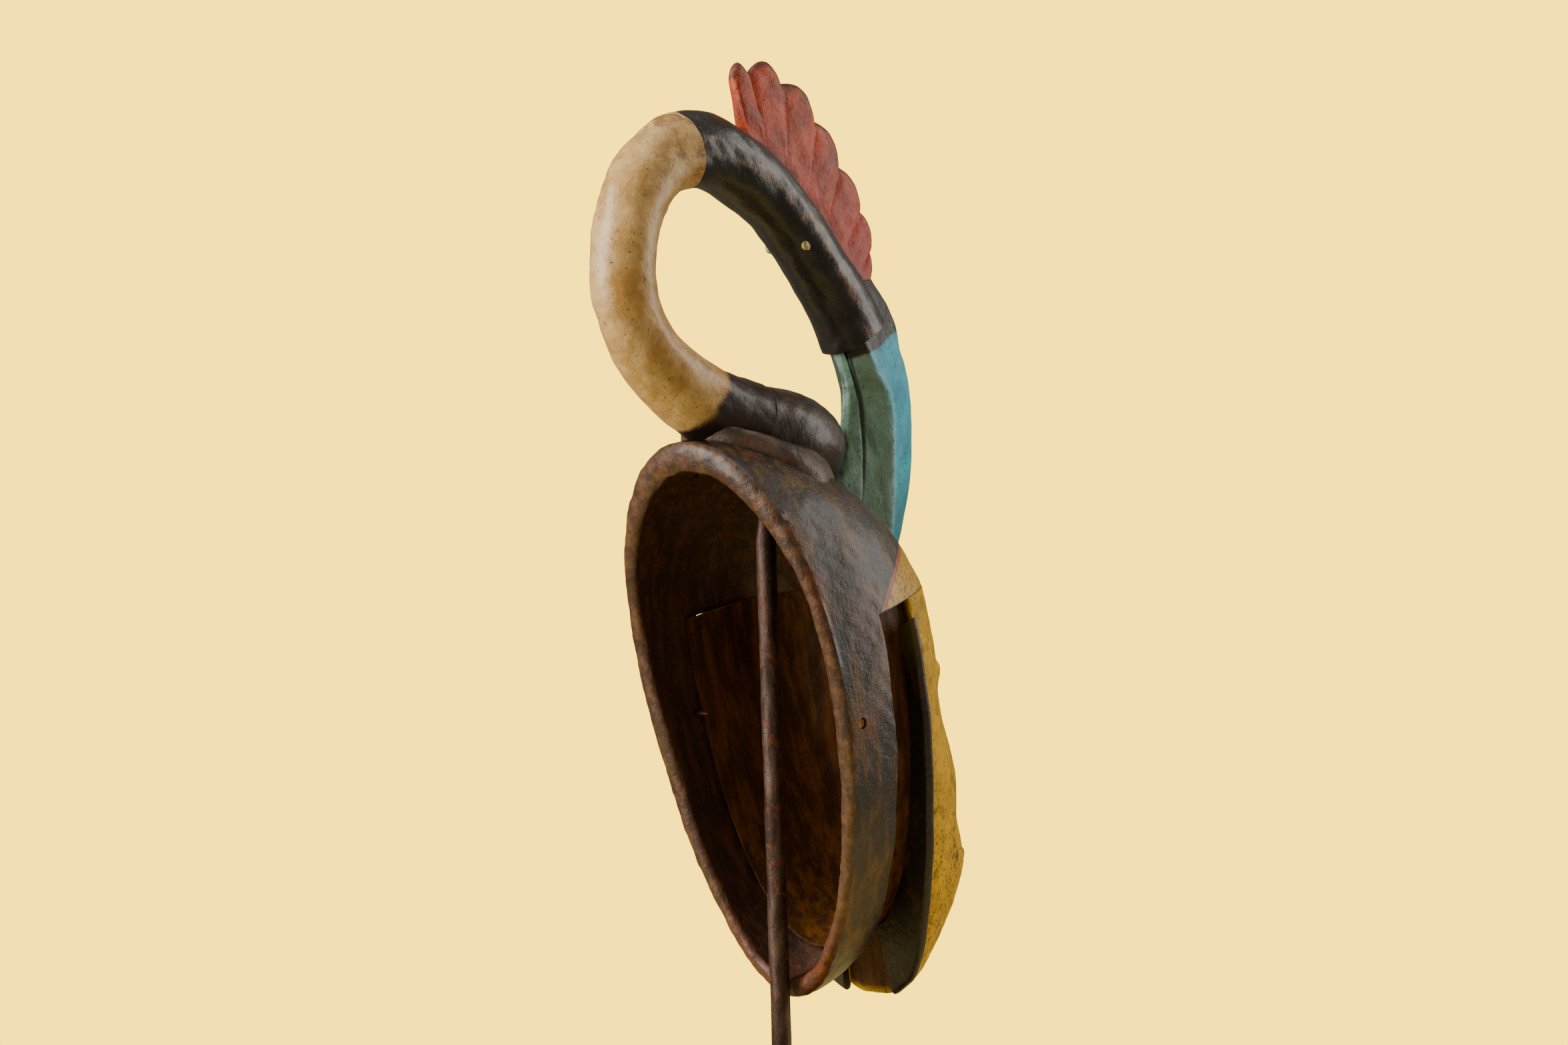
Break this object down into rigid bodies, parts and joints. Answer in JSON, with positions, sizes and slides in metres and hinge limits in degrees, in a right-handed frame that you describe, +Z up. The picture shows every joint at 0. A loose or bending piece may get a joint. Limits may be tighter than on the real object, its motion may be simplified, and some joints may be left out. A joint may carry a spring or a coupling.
{
  "type": "carved face mask on display stand",
  "caption": "Carved, painted wooden face mask with a long-necked bird on its crown, hung from inside on the rod of a steel display stand.",
  "frame": {"origin": "centre of the base's underside, on the felt pad's lower face and the rod's axis", "axes": "+Z up along the rod; the mask's face looks towards -Y and its hollow back towards +Y; +X is the mask's own left"},
  "size_m": [0.16, 0.232, 0.5657],
  "materials": {
    "blackened_steel": "matt black, waxed",
    "rusty_iron": "rusted and handled",
    "felt": "felt",
    "zinc_steel": "plain",
    "hood_brown": "dark brown paint worn to the wood",
    "face_yellow": "yellow paint with dark mottling, satin",
    "black_paint": "black paint, satin",
    "body_brown": "dark brown paint, satin",
    "neck_cream": "cream paint, satin",
    "beak_blue": "turquoise paint, satin",
    "beak_green": "grey-green paint, satin",
    "comb_red": "salmon red paint, worn",
    "eye_pale": "pale painted peg",
    "bare_wood": "bare"
  },
  "bodies": {
    "stand": {"base_plate": "blackened_steel", "felt_pad": "felt", "rod": "rusty_iron", "washer": "zinc_steel", "hex_nut": "zinc_steel"},
    "mask": {"hood_shell": "hood_brown", "face_shell": "face_yellow", "side_flange_left": "black_paint", "side_flange_right": "black_paint", "bird_body": "body_brown", "bird_neck": "neck_cream", "bird_head": "black_paint", "comb": "comb_red", "beak_upper": "beak_blue", "beak_lower": "beak_green", "bird_eye_left": "eye_pale", "bird_eye_right": "eye_pale", "side_peg_right": "bare_wood", "side_nail_left": "rusty_iron", "body_dowel_left": "bare_wood", "body_dowel_right": "bare_wood", "neck_dowel": "bare_wood", "head_dowel": "bare_wood", "beak_dowel_upper": "bare_wood", "beak_dowel_lower": "bare_wood", "comb_pin_front": "rusty_iron", "comb_pin_rear": "rusty_iron"}
  },
  "joints": [
    {"name": "mask_lift", "type": "slide", "parent": "stand", "child": "mask", "axis": [0, 0, 1], "range_m": [0, 0.016]}
  ]
}
